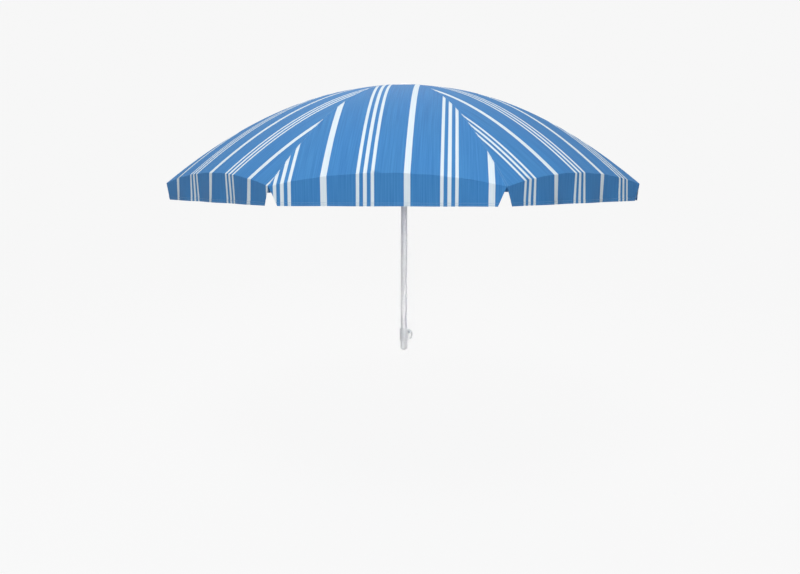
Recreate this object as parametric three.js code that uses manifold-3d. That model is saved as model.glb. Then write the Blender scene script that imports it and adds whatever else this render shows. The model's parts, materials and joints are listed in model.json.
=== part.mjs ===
// Beach umbrella: an eight-rib folding canopy on a tilting mast, with a ground pole that slides in
// the mast and is held by a cam-lever clamp. Millimetres, +Z up. The origin is the middle of the
// pole's lower end, and the clamp lever is on the +X side.
import * as THREE from 'three';
import { mergeVertices } from 'three/addons/utils/BufferGeometryUtils.js';
import Module from 'manifold-3d';

const wasm = await Module();
wasm.setup();

// ---- driving dimensions ----
const GAP = 0.3; // left between touching pieces
const RIBS = 8;
const FIRST_RIB = THREE.MathUtils.degToRad(19); // azimuth from -Y towards +X
const HALF_GORE = Math.PI / RIBS;
const ROUND = 32; // sides of a turned piece
const SMALL_ROUND = 16; // sides of a pin, rivet or button
const PAST = 1; // how far a cutting tool goes past the face that it cuts
const FAR = 60; // reach of a cutting tool that goes right through

const CANOPY = { radius: 820, crown: 954, drop: 337, arch: 35, hemZ: 565, thickness: 1.2, hole: 8 };
const CLOTH_STEPS = { innerAlong: 8, innerAcross: 6, outerAlong: 10, outerAcross: 8, foldAt: 0.8 };
const NOTCH = { halfWidth: 21, height: 52, widen: 1.2 }; // the open V in the valance under each rib tip
const RIB = { radius: 2.2, below: 6, pivotR: 15, elbowR: 400, elbowGap: 4, endR: 812, ballRadius: 2.9 };
const ROD = { curvePoints: 5, innerSteps: 6, outerSteps: 7, sideSegments: 4 };
const STRETCHER = { radius: 2.2, offset: 6.5, overrun: 3 };

const TUBE = { outer: 11, inner: 9.8 };
const GROUND_TUBE = { outer: 9.5, inner: 8.3, bottom: 33.8, top: 560 };
const FOOT = { radius: 12.5, height: 33.5, tip: 8, bevel: 7, plug: 8, plugTop: 56 };
const UPPER_MAST = { bottom: 620, top: 930 };
const LOWER_MAST = { bottom: 40.3, top: 604 };

const HUB = { radius: 25, bottom: 931, top: 951.5, bevel: 4, slotR: 11.6, slotWidth: 5.6, plug: 9.4,
  plugBottom: 905 };
const CAP = { radius: 22, bottom: 955.2, rim: 1.6, top: 962, stem: 4.5, domeSteps: 5 };
const RUNNER = { bore: 13.2, sleeve: 16.5, flange: 26, bottom: 684, flangeZ: 708, top: 732, pivotR: 22,
  pivotZ: 720, slotR: 17.8, slotWidth: 6 };
const RING = { inner: 16.8, outer: 24, bottom: 700, top: 707.6 };
const CATCH = { z: 674, height: 16, width: 5, proud: 3.6, depth: 6, nose: 2 };

const TILT = { pivotX: 4, pivotZ: 612, pin: 2, headRadius: 3.4, head: 1.2, cheekInner: 3, cheekOuter: 5.5,
  eye: 6, tongue: 2.7 };
const TILT_PLATE = { left: -4, right: 7.2, bottom: 572, mouth: 596 }; // inside the lower mast
const TILT_BLADE = { right: 7.2, root: 624, bladeTop: 630, top: 652 }; // inside the upper mast
const RIVET = { radius: 1.8, headRadius: 3, head: 1.1, lowerZ: 582, upperZ: 642 };
const BUTTON = { z: 594, radius: 3, flange: 3.9, outerX: -12.8, flangeX: -8.6, innerX: -7.2, bevel: 0.8 };

const COLLAR = { outer: 15, bottom: 34, top: 81, tubeBore: 11.3, poleBore: 9.8, shoulder: 40 };
const GRIP = { flutes: 24, pointsEach: 4, rootRadius: 14.4, tipRadius: 15.4, bottom: 60, top: 77.5 };
const LEVER = { pinX: 17.8, pinZ: 68, pin: 2.2, headRadius: 4.4, head: 1.3, width: 8.4, bar: 5.4, cam: 5.2,
  camOffset: 1, steps: 18 };
const LEVER_PATH = [ // x and z of the loop's middle line, from the cam down to the free end
  [19.5, 70], [24.5, 68.5], [28.2, 63], [28.8, 55], [28, 47.5], [24.5, 42.6], [20, 42.6],
];
const EAR = { inner: 4.6, outer: 7.8, reach: 6.4, bottom: 54, top: 78 };
const PAD = { inner: 9.8, outer: 11.3, halfWidth: 4, bottom: 61.5, top: 74.5, slotPast: 2 };

// ---- values worked out from them ----
const COS_GORE = Math.cos(HALF_GORE);
const TAN_GORE = Math.tan(HALF_GORE);
const elbowZ = ribHeight(RIB.elbowR);

// ---- materials ----
function finish(color, roughness, metalness = 0) {
  return new THREE.MeshStandardMaterial({ color, roughness, metalness });
}

const cloth = finish(0x3a7fbe, 0.85);
const whitePaint = finish(0xe9ecee, 0.35, 0.2);
const whitePlastic = finish(0xf1f1ee, 0.5);
const steel = finish(0xb9bcc0, 0.3, 0.9);
const darkSteel = finish(0x5a5d61, 0.4, 0.9);

// ---- shape helpers ----
function toSolid(geometry) {
  const bare = geometry.clone();
  bare.deleteAttribute('normal');
  bare.deleteAttribute('uv');
  const merged = mergeVertices(bare, 1e-4);
  const mesh = new wasm.Mesh({
    numProp: 3,
    vertProperties: merged.attributes.position.array,
    triVerts: merged.index.array,
  });
  return new wasm.Manifold(mesh);
}

function toGeometry(solid) {
  const mesh = solid.getMesh();
  const geometry = new THREE.BufferGeometry();
  geometry.setAttribute('position', new THREE.BufferAttribute(mesh.vertProperties, 3));
  geometry.setIndex(new THREE.BufferAttribute(mesh.triVerts, 1));
  return geometry;
}

function cut(geometry, ...tools) {
  return toGeometry(tools.reduce((left, tool) => left.subtract(toSolid(tool)), toSolid(geometry)));
}

function join(geometry, ...others) {
  return toGeometry(others.reduce((whole, other) => whole.add(toSolid(other)), toSolid(geometry)));
}

// A closed profile of [radius, height] points, turned about the Z axis.
function turned(profile, segments = ROUND) {
  const points = profile.map(([r, z]) => new THREE.Vector2(r, z));
  return new THREE.LatheGeometry(points, segments).rotateX(Math.PI / 2);
}

function ring(inner, outer, bottom, top, segments = ROUND) {
  return turned([[inner, bottom], [outer, bottom], [outer, top], [inner, top], [inner, bottom]], segments);
}

function disc(radius, bottom, top, segments = ROUND) {
  return turned([[0, bottom], [radius, bottom], [radius, top], [0, top]], segments);
}

function block([x0, x1], [y0, y1], [z0, z1]) {
  const box = new THREE.BoxGeometry(x1 - x0, y1 - y0, z1 - z0);
  return box.translate((x0 + x1) / 2, (y0 + y1) / 2, (z0 + z1) / 2);
}

// A round bar along Y through (x, z), from -halfLength to halfLength.
function crossBar(radius, halfLength, x, z, segments = SMALL_ROUND) {
  return new THREE.CylinderGeometry(radius, radius, 2 * halfLength, segments).translate(x, 0, z);
}

// A cross bar with a head at each end, just clear of what it holds.
function headedPin(radius, headRadius, head, halfLength, x, z) {
  const shank = crossBar(radius, halfLength + GAP, x, z);
  const disk = crossBar(headRadius, head / 2, x, z);
  const out = halfLength + GAP + head / 2;
  return join(shank, disk.clone().translate(0, out, 0), disk.clone().translate(0, -out, 0));
}

function mesh(name, geometry, material, azimuth = 0) {
  const piece = new THREE.Mesh(geometry, material);
  piece.name = name;
  piece.rotation.z = azimuth;
  return piece;
}

// ---- the canopy's surface, in a frame whose X axis runs out along one rib ----
function ribHeight(r) {
  return CANOPY.crown - RIB.below - CANOPY.drop * (r / CANOPY.radius) ** 2;
}

// Height of the cloth at n along the gore's centre line and t across it.
function clothHeight(n, t) {
  const share = (n / COS_GORE / CANOPY.radius) ** 2;
  const across = t / (n * TAN_GORE);
  return CANOPY.crown - CANOPY.drop * share + CANOPY.arch * share * (1 - across ** 2);
}

// A point between the rib (side 0, radius ribR) and the gore's centre line (side +1 or -1, radius goreR).
function clothPoint(ribR, goreR, side) {
  const share = Math.abs(side);
  const seam = goreR * Math.sin(HALF_GORE) - GAP;
  const x = THREE.MathUtils.lerp(ribR, goreR * COS_GORE, share);
  const y = seam * share;
  const n = x * COS_GORE + y * Math.sin(HALF_GORE);
  const t = y * COS_GORE - x * Math.sin(HALF_GORE);
  return new THREE.Vector3(x, Math.sign(side) * y, clothHeight(n, t));
}

// Bends a flat slab of unit size into a sheet of cloth: place(along, side) gives the face point and
// the offset to the back of the cloth there.
function clothSheet(along, across, place) {
  const slab = new THREE.BoxGeometry(1, 1, 1, along, across, 1);
  const position = slab.attributes.position;
  const corner = new THREE.Vector3();
  for (let i = 0; i < position.count; i += 1) {
    corner.fromBufferAttribute(position, i);
    const { face, inward } = place(corner.x + 0.5, 2 * corner.y);
    if (corner.z < 0) face.add(inward);
    position.setXYZ(i, face.x, face.y, face.z);
  }
  return slab;
}

function innerPanel() {
  const inward = new THREE.Vector3(0, 0, -CANOPY.thickness);
  return clothSheet(CLOTH_STEPS.innerAlong, CLOTH_STEPS.innerAcross, (along, side) => {
    const r = THREE.MathUtils.lerp(CANOPY.hole, RIB.elbowR - GAP, along);
    return { face: clothPoint(r, r / COS_GORE, side), inward };
  });
}

// The outer panel ends in a fold, below which the valance hangs straight down to the hem.
function outerPanel() {
  const { outerAlong, outerAcross, foldAt } = CLOTH_STEPS;
  const panel = clothSheet(outerAlong, outerAcross, (along, side) => {
    const out = Math.min(along / foldAt, 1);
    const ribR = THREE.MathUtils.lerp(RIB.elbowR + GAP, CANOPY.radius, out);
    const goreR = THREE.MathUtils.lerp((RIB.elbowR + GAP) / COS_GORE, CANOPY.radius * COS_GORE, out);
    const face = clothPoint(ribR, goreR, side);
    const slant = Math.sign(side) * HALF_GORE;
    const back = side === 0 ? CANOPY.thickness / COS_GORE : CANOPY.thickness;
    const hanging = along > foldAt + 1e-6;
    const inward = new THREE.Vector3(-Math.cos(slant), -Math.sin(slant), 0).multiplyScalar(back);
    if (hanging) {
      const down = (along - foldAt) / (1 - foldAt);
      face.z = THREE.MathUtils.lerp(face.z, CANOPY.hemZ, down);
    } else if (out < 1) {
      inward.set(0, 0, -CANOPY.thickness);
    } else {
      inward.z = -CANOPY.thickness;
    }
    return { face, inward };
  });
  return cut(panel, notchWedge());
}

// The cutter for the V under the rib tip: widen carries it below the hem.
function notchWedge() {
  const tipZ = CANOPY.crown - CANOPY.drop;
  const { halfWidth, height, widen } = NOTCH;
  const outline = new THREE.Shape();
  outline.moveTo(0, tipZ - PAST);
  outline.lineTo(-halfWidth * widen, tipZ - height * widen);
  outline.lineTo(halfWidth * widen, tipZ - height * widen);
  outline.closePath();
  const wedge = new THREE.ExtrudeGeometry(outline, { depth: FAR, bevelEnabled: false });
  wedge.rotateX(Math.PI / 2).rotateZ(Math.PI / 2);
  return wedge.translate(CANOPY.radius - FAR / 2, 0, 0);
}

// ---- ribs and stretchers ----
function rod(curve, radius, steps) {
  const section = new THREE.Shape();
  section.absarc(0, 0, radius, 0, 2 * Math.PI);
  const options = { steps, curveSegments: ROD.sideSegments, bevelEnabled: false, extrudePath: curve };
  return new THREE.ExtrudeGeometry(section, options);
}

function ribCurve(startR, endR) {
  const points = [];
  for (let i = 0; i < ROD.curvePoints; i += 1) {
    const r = THREE.MathUtils.lerp(startR, endR, i / (ROD.curvePoints - 1));
    points.push(new THREE.Vector3(r, 0, ribHeight(r)));
  }
  return new THREE.CatmullRomCurve3(points);
}

function innerRib() {
  return rod(ribCurve(RIB.pivotR - 1, RIB.elbowR - RIB.elbowGap), RIB.radius, ROD.innerSteps);
}

function outerRib() {
  const ball = new THREE.IcosahedronGeometry(RIB.ballRadius, 1).translate(RIB.endR, 0, ribHeight(RIB.endR));
  return join(rod(ribCurve(RIB.elbowR + RIB.elbowGap, RIB.endR), RIB.radius, ROD.outerSteps), ball);
}

function stretcher() {
  const inner = new THREE.Vector3(RUNNER.pivotR, STRETCHER.offset, RUNNER.pivotZ);
  const outer = new THREE.Vector3(RIB.elbowR, STRETCHER.offset, elbowZ);
  const along = outer.clone().sub(inner).setLength(STRETCHER.overrun);
  const line = new THREE.LineCurve3(inner.sub(along), outer.add(along));
  return rod(line, STRETCHER.radius, 1);
}

// ---- hub, runner and cap ----
// The slots run outwards from slotR, one to each rib, centred at sideways from its middle.
function slots(slotR, width, bottom, top, sideways = 0) {
  const cuts = [];
  for (let i = 0; i < RIBS; i += 1) {
    const halfWidth = width / 2;
    const slot = block([slotR, FAR], [sideways - halfWidth, sideways + halfWidth], [bottom, top]);
    cuts.push(slot.rotateZ(ribAngle(i)));
  }
  return cuts;
}

function ribAngle(i) {
  return FIRST_RIB - Math.PI / 2 + (i * 2 * Math.PI) / RIBS;
}

function crownHub() {
  const body = turned([
    [0, HUB.plugBottom], [HUB.plug, HUB.plugBottom], [HUB.plug, HUB.bottom],
    [HUB.radius - HUB.bevel, HUB.bottom], [HUB.radius, HUB.bottom + HUB.bevel], [HUB.radius, HUB.top],
    [0, HUB.top],
  ]);
  return cut(body, ...slots(HUB.slotR, HUB.slotWidth, HUB.bottom - PAST, HUB.top + PAST));
}

// A low dome on a stem, above the hole in the cloth.
function crownCap() {
  const { radius, bottom, rim, top, stem, domeSteps } = CAP;
  const profile = [[0, HUB.top + GAP], [stem, HUB.top + GAP], [stem, bottom], [radius, bottom]];
  for (let i = 0; i < domeSteps; i += 1) {
    const angle = (i / domeSteps) * (Math.PI / 2);
    profile.push([radius * Math.cos(angle), bottom + rim + (top - bottom - rim) * Math.sin(angle)]);
  }
  profile.push([0, top]);
  return turned(profile);
}

function runner() {
  const body = turned([
    [RUNNER.bore, RUNNER.bottom], [RUNNER.sleeve, RUNNER.bottom], [RUNNER.sleeve, RUNNER.flangeZ],
    [RUNNER.flange, RUNNER.flangeZ], [RUNNER.flange, RUNNER.top], [RUNNER.bore, RUNNER.top],
    [RUNNER.bore, RUNNER.bottom],
  ]);
  const { slotR, slotWidth, flangeZ, top } = RUNNER;
  return cut(body, ...slots(slotR, slotWidth, flangeZ - PAST, top + PAST, STRETCHER.offset));
}

// A spring leaf in a window of the mast, just under the open runner.
function runnerCatch() {
  const { z, height, width, proud, depth, nose } = CATCH;
  const outline = new THREE.Shape();
  outline.moveTo(TUBE.outer - depth, z - height / 2);
  outline.lineTo(TUBE.outer, z - height / 2);
  outline.lineTo(TUBE.outer + proud, z + height / 2 - nose);
  outline.lineTo(TUBE.outer + proud, z + height / 2);
  outline.lineTo(TUBE.outer - depth, z + height / 2);
  outline.closePath();
  const leaf = new THREE.ExtrudeGeometry(outline, { depth: width, bevelEnabled: false });
  return leaf.rotateX(Math.PI / 2).translate(0, width / 2, 0);
}

// ---- masts ----
function upperMast() {
  const { outer, inner } = TUBE;
  const { z, height, width } = CATCH;
  const across = [-(width / 2 + GAP), width / 2 + GAP];
  const window = block([0, FAR], across, [z - height / 2 - GAP, z + height / 2 + GAP]);
  window.rotateZ(-Math.PI / 2);
  const rivetHole = crossBar(RIVET.radius + GAP, FAR, 0, RIVET.upperZ);
  return cut(ring(inner, outer, UPPER_MAST.bottom, UPPER_MAST.top), window, rivetHole);
}

function lowerMast() {
  const { outer, inner } = TUBE;
  const halfWidth = PAD.halfWidth + GAP;
  const padWindow = block([0, FAR], [-halfWidth, halfWidth], [PAD.bottom - PAST, PAD.top + PAST]);
  const rivetHole = crossBar(RIVET.radius + GAP, FAR, 0, RIVET.lowerZ);
  const buttonHole = disc(BUTTON.radius + GAP, 0, FAR, SMALL_ROUND).rotateY(-Math.PI / 2);
  buttonHole.translate(0, 0, BUTTON.z);
  const tube = ring(inner, outer, LOWER_MAST.bottom, LOWER_MAST.top);
  return cut(tube, padWindow, rivetHole, buttonHole);
}

function groundPole() {
  return ring(GROUND_TUBE.inner, GROUND_TUBE.outer, GROUND_TUBE.bottom, GROUND_TUBE.top);
}

function foot() {
  return turned([
    [0, 0], [FOOT.tip, 0], [FOOT.radius, FOOT.bevel], [FOOT.radius, FOOT.height],
    [FOOT.plug, FOOT.height], [FOOT.plug, FOOT.plugTop], [0, FOOT.plugTop],
  ]);
}

// ---- tilt joint ----
function tiltLowerBracket() {
  const { pivotX, pivotZ, cheekInner, cheekOuter, eye, pin } = TILT;
  const { left, right, bottom, mouth } = TILT_PLATE;
  const plate = block([left, right], [-cheekOuter, cheekOuter], [bottom, pivotZ]);
  const eyes = crossBar(eye, cheekOuter, pivotX, pivotZ, ROUND);
  const opening = block([-FAR, FAR], [-cheekInner, cheekInner], [mouth, FAR + pivotZ]);
  const pinHole = crossBar(pin + GAP, FAR, pivotX, pivotZ);
  const rivetHole = crossBar(RIVET.radius + GAP, FAR, 0, RIVET.lowerZ);
  return cut(join(plate, eyes), opening, pinHole, rivetHole);
}

function tiltUpperBracket() {
  const { pivotX, pivotZ, cheekOuter, eye, tongue, pin } = TILT;
  const { right, root, bladeTop, top } = TILT_BLADE;
  const blade = block([pivotX - eye, right], [-tongue, tongue], [pivotZ, bladeTop]);
  const eyeDisc = crossBar(eye, tongue, pivotX, pivotZ, ROUND);
  const foot = block([TILT_PLATE.left, right], [-cheekOuter, cheekOuter], [root, top]);
  const pinHole = crossBar(pin + GAP, FAR, pivotX, pivotZ);
  const rivetHole = crossBar(RIVET.radius + GAP, FAR, 0, RIVET.upperZ);
  return cut(join(blade, eyeDisc, foot), pinHole, rivetHole);
}

function tiltPin() {
  const { pin, headRadius, head, cheekOuter, pivotX, pivotZ } = TILT;
  return headedPin(pin, headRadius, head, cheekOuter, pivotX, pivotZ);
}

function rivet(z) {
  return headedPin(RIVET.radius, RIVET.headRadius, RIVET.head, TUBE.outer, 0, z);
}

function tiltButton() {
  const { radius, flange, outerX, flangeX, innerX, bevel } = BUTTON;
  const body = turned([
    [0, -innerX], [flange, -innerX], [flange, -flangeX], [radius, -flangeX], [radius, -outerX - bevel],
    [radius - bevel, -outerX], [0, -outerX],
  ], SMALL_ROUND);
  return body.rotateY(-Math.PI / 2).translate(0, 0, BUTTON.z);
}

// ---- clamp ----
function fluteRing() {
  const outline = new THREE.Shape();
  const steps = GRIP.flutes * GRIP.pointsEach;
  for (let i = 0; i < steps; i += 1) {
    const angle = (i * 2 * Math.PI) / steps;
    const share = 0.5 + 0.5 * Math.cos(angle * GRIP.flutes);
    const r = THREE.MathUtils.lerp(GRIP.rootRadius, GRIP.tipRadius, share);
    if (i === 0) outline.moveTo(r, 0);
    else outline.lineTo(r * Math.cos(angle), r * Math.sin(angle));
  }
  outline.closePath();
  const depth = GRIP.top - GRIP.bottom;
  return new THREE.ExtrudeGeometry(outline, { depth, bevelEnabled: false }).translate(0, 0, GRIP.bottom);
}

function clampEars() {
  const reach = block([0, LEVER.pinX], [-EAR.outer, EAR.outer], [EAR.bottom, EAR.top]);
  const round = crossBar(EAR.reach, EAR.outer, LEVER.pinX, LEVER.pinZ, ROUND);
  return join(reach, round);
}

function clampCollar() {
  const { outer, bottom, top, tubeBore, poleBore, shoulder } = COLLAR;
  const body = disc(outer, bottom, top);
  const solid = join(body, fluteRing(), clampEars());
  const betweenEars = [-EAR.inner, EAR.inner];
  const camSlot = block([0, FAR], betweenEars, [PAD.bottom - PAD.slotPast, PAD.top + PAD.slotPast]);
  const leverSlot = block([outer, FAR], betweenEars, [bottom - PAST, top + PAST]);
  const pinHole = crossBar(LEVER.pin + GAP, FAR, LEVER.pinX, LEVER.pinZ);
  const bore = disc(tubeBore, shoulder, top + PAST);
  const poleHole = disc(poleBore, bottom - PAST, shoulder + PAST);
  return cut(solid, camSlot, leverSlot, pinHole, bore, poleHole);
}

function clampPin() {
  return headedPin(LEVER.pin, LEVER.headRadius, LEVER.head, EAR.outer, LEVER.pinX, LEVER.pinZ);
}

// A loop-shaped lever that hangs beside the collar when the clamp is shut.
function clampLever() {
  const path = new THREE.CatmullRomCurve3(LEVER_PATH.map(([x, z]) => new THREE.Vector3(x, 0, z)));
  const halfWidth = LEVER.width / 2;
  const halfBar = LEVER.bar / 2;
  const section = new THREE.Shape();
  section.moveTo(-halfWidth, -halfBar);
  section.lineTo(halfWidth, -halfBar);
  section.lineTo(halfWidth, halfBar);
  section.lineTo(-halfWidth, halfBar);
  section.closePath();
  const options = { steps: LEVER.steps, bevelEnabled: false, extrudePath: path };
  const bar = new THREE.ExtrudeGeometry(section, options);
  const cam = crossBar(LEVER.cam, halfWidth, LEVER.pinX - LEVER.camOffset, LEVER.pinZ, ROUND);
  const pinHole = crossBar(LEVER.pin + GAP, FAR, LEVER.pinX, LEVER.pinZ);
  return cut(join(bar, cam), pinHole);
}

function clampPad() {
  const { inner, outer, halfWidth, bottom, top } = PAD;
  const side = block([0, FAR], [-halfWidth, halfWidth], [bottom - PAST, top + PAST]);
  return toGeometry(toSolid(ring(inner, outer, bottom, top)).intersect(toSolid(side)));
}

// ---- assembly ----
const umbrella = new THREE.Group();
umbrella.add(
  mesh('ground_pole', groundPole(), whitePaint),
  mesh('pole_foot', foot(), whitePlastic),
  mesh('lower_mast', lowerMast(), whitePaint),
  mesh('clamp_collar', clampCollar(), whitePlastic),
  mesh('clamp_pad', clampPad(), whitePlastic),
  mesh('clamp_lever', clampLever(), whitePlastic),
  mesh('clamp_pin', clampPin(), steel),
  mesh('tilt_lower_bracket', tiltLowerBracket(), steel),
  mesh('tilt_upper_bracket', tiltUpperBracket(), steel),
  mesh('tilt_pivot_pin', tiltPin(), darkSteel),
  mesh('tilt_lower_rivet', rivet(RIVET.lowerZ), darkSteel),
  mesh('tilt_upper_rivet', rivet(RIVET.upperZ), darkSteel),
  mesh('tilt_button', tiltButton(), darkSteel),
  mesh('upper_mast', upperMast(), whitePaint),
  mesh('runner', runner(), whitePlastic),
  mesh('runner_ring', ring(RING.inner, RING.outer, RING.bottom, RING.top), whitePlastic),
  mesh('runner_catch', runnerCatch(), steel, -Math.PI / 2),
  mesh('crown_hub', crownHub(), whitePlastic),
  mesh('crown_cap', crownCap(), whitePlastic),
);

for (let i = 0; i < RIBS; i += 1) {
  const angle = ribAngle(i);
  umbrella.add(
    mesh(`rib_inner_${i + 1}`, innerRib(), whitePaint, angle),
    mesh(`rib_outer_${i + 1}`, outerRib(), whitePaint, angle),
    mesh(`stretcher_${i + 1}`, stretcher(), whitePaint, angle),
    mesh(`canopy_inner_${i + 1}`, innerPanel(), cloth, angle),
    mesh(`canopy_outer_${i + 1}`, outerPanel(), cloth, angle),
  );
}

export default umbrella;
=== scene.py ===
"""A striped beach umbrella: a taut eight-gore canopy with a hanging valance, on a tilting mast with
a ground pole, a runner and a cam-lever clamp. Metres, +Z up, origin at the pole's lower end."""

import json
import math

import bmesh
import bpy
from mathutils import Matrix, Vector
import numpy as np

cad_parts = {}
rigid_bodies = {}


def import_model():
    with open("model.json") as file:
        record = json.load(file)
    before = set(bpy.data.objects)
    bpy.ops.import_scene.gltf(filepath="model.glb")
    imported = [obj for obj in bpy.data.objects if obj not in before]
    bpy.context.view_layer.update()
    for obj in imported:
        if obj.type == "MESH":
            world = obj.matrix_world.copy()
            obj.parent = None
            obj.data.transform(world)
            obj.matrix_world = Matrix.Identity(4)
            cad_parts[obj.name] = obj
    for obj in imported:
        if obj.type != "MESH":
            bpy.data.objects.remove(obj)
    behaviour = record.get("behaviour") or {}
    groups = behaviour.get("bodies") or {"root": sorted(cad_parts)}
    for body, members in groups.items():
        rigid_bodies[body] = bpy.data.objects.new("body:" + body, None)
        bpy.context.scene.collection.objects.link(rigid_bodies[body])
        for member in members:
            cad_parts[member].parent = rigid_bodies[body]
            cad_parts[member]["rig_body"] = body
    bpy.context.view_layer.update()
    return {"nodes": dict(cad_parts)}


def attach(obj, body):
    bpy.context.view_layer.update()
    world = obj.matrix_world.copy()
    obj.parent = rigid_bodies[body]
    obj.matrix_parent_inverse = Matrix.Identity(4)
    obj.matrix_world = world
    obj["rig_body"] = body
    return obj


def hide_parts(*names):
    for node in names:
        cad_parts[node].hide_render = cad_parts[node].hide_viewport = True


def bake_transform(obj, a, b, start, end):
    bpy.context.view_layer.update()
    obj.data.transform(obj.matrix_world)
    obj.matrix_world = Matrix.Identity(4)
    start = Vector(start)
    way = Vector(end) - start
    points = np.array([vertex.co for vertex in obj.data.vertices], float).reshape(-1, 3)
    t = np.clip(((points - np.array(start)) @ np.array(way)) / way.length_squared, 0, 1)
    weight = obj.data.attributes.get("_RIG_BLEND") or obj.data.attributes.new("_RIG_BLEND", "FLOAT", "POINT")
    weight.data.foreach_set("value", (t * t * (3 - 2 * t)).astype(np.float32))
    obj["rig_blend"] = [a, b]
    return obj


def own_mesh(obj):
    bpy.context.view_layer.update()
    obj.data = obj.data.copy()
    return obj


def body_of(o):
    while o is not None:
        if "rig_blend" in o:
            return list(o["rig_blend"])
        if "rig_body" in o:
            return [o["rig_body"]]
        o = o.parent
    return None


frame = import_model()

# ---- driving dimensions ----
MM = 0.001
RIBS = 8
FIRST_RIB = math.radians(19)  # azimuth from -Y towards +X

# The canopy's taut cloth
CANOPY_RADIUS = 820 * MM
CROWN_Z = 954 * MM
DROP = 337 * MM  # from the crown to the rib tips
ARCH = 35 * MM  # how far a gore's middle stands above its ribs at the edge
CROWN_HOLE = 8 * MM
CLOTH = 0.9 * MM
PUCKER = 0.9 * MM
PUCKER_WAVE = 92 * MM
PUCKER_TURN = 1.7  # radians from one gore to the next

# The valance and its hem
HEM_Z = 565 * MM
VALANCE_SWING = 3.2 * MM
VALANCE_WAVE = 2.1 * PUCKER_WAVE
VALANCE_TURN = 2.3  # radians from one gore to the next
STILL_SHARE = 0.25  # of half a panel, beside the notch, where the swing dies out
NOTCH_HALF_WIDTH = 21 * MM
HEM_BAND = 12 * MM
HEM_EXTRA = 0.5 * MM
HEM_STITCH = 9 * MM  # the upper row of thread above the hem

# Seams and thread
SEAM_HALF_WIDTH = 3.8 * MM
SEAM_STEP = 0.8 * MM
SEAM_RISE = 0.6 * MM
SEAM_SHARE = 0.45  # the most of half a panel that a seam takes, near the crown
STITCH_OFFSET = 2.8 * MM
STITCH_HALF_WIDTH = 0.35 * MM
STITCH_PITCH = 3.6 * MM
STITCH_SHARE = 0.7  # of the pitch that thread shows

# The woven stripes: a single line and three close lines take turns
STRIPE_PERIOD = 221 * MM
SINGLE_HALF_WIDTH = 8.5 * MM
TRIPLE_EDGES = [5.0 * MM, 15.2 * MM, 24.0 * MM]  # middle line, gap and outer line end here
STRIPE_EDGE = 0.35 * MM
STRIPE_SHIFT = [shift * MM for shift in (112, 30, -70, 85, -20, 60, -6, 54)]  # one for each gore
WEAVE_PITCH = 0.9 * MM

# Steps across and along the cloth
PLAIN_COLUMNS = 11
INNER_ROWS = 18
OUTER_ROWS = 22
HANGING_ROWS = 5

# Ribs and struts
WIRE_RADIUS = 2.2 * MM
WIRE_STEPS = 72
RIB_BELOW = 6 * MM
RIB_START = 13.6 * MM
RIB_PIVOT = 15 * MM
RIB_END = 811 * MM
ELBOW = 400 * MM
FLEX_LENGTH = 14 * MM
STRAP = 3.1 * MM
STRUT_SIDE = 6.5 * MM
STRUT_OVERRUN = 3 * MM
STRUT_STEPS = 48
RUNNER_PIVOT = 22 * MM
RUNNER_PIVOT_Z = 720 * MM
RING_WIRE = 0.8 * MM

# Mast, tilt joint and clamp
MAST_OUTER = 11 * MM
MAST_INNER = 9.8 * MM
POLE_OUTER = 9.5 * MM
POLE_INNER = 8.3 * MM
TUBE_SIDES = 96
HOLE_SIDES = 30
TUBE_LIP = 0.3 * MM
RIVET_RADIUS = 1.8 * MM
RIVET_HOLE = 2.1 * MM
LOWER_RIVET_Z = 582 * MM
UPPER_RIVET_Z = 642 * MM
BUTTON_HOLE = 3.3 * MM
BUTTON_Z = 594 * MM
PAST = 20 * MM  # how far a cutting tool reaches from the mast's axis
TILT_PIVOT = Vector((4 * MM, 0, 612 * MM))
CLAMP_PIVOT = Vector((17.8 * MM, 0, 68 * MM))
CLAMP_HOLE = 2.5 * MM
LEVER_PATH = [(19.5, 70), (24.5, 68.5), (28.2, 63), (28.8, 55), (28, 47.5), (24.5, 42.6), (20, 42.6)]
SHARP = 32  # degrees: a steeper edge stays sharp

# Studio
FLOOR_Z = -0.47
FLOOR_RADIUS = 5.0
WALL_BEND = 4.0
WALL_TOP = 9.0
CAMERA_PLACE = (0, -2.7527, 0.657)
CAMERA_PITCH = 8.72  # degrees down
CAMERA_TURN = 0.31
CAMERA_LENS = 34.03

HALF_GORE = math.pi / RIBS
COS_GORE = math.cos(HALF_GORE)
SIN_GORE = math.sin(HALF_GORE)
TAN_GORE = math.tan(HALF_GORE)
TIP_Z = CROWN_Z - DROP
UP = Vector((0, 0, 1))
ALONG_Y = Matrix.Rotation(-math.pi / 2, 4, "X")
ALONG_MINUS_X = Matrix.Rotation(-math.pi / 2, 4, "Y")
BUTTON_MATRIX = Matrix.Translation(UP * BUTTON_Z) @ ALONG_MINUS_X


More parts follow.
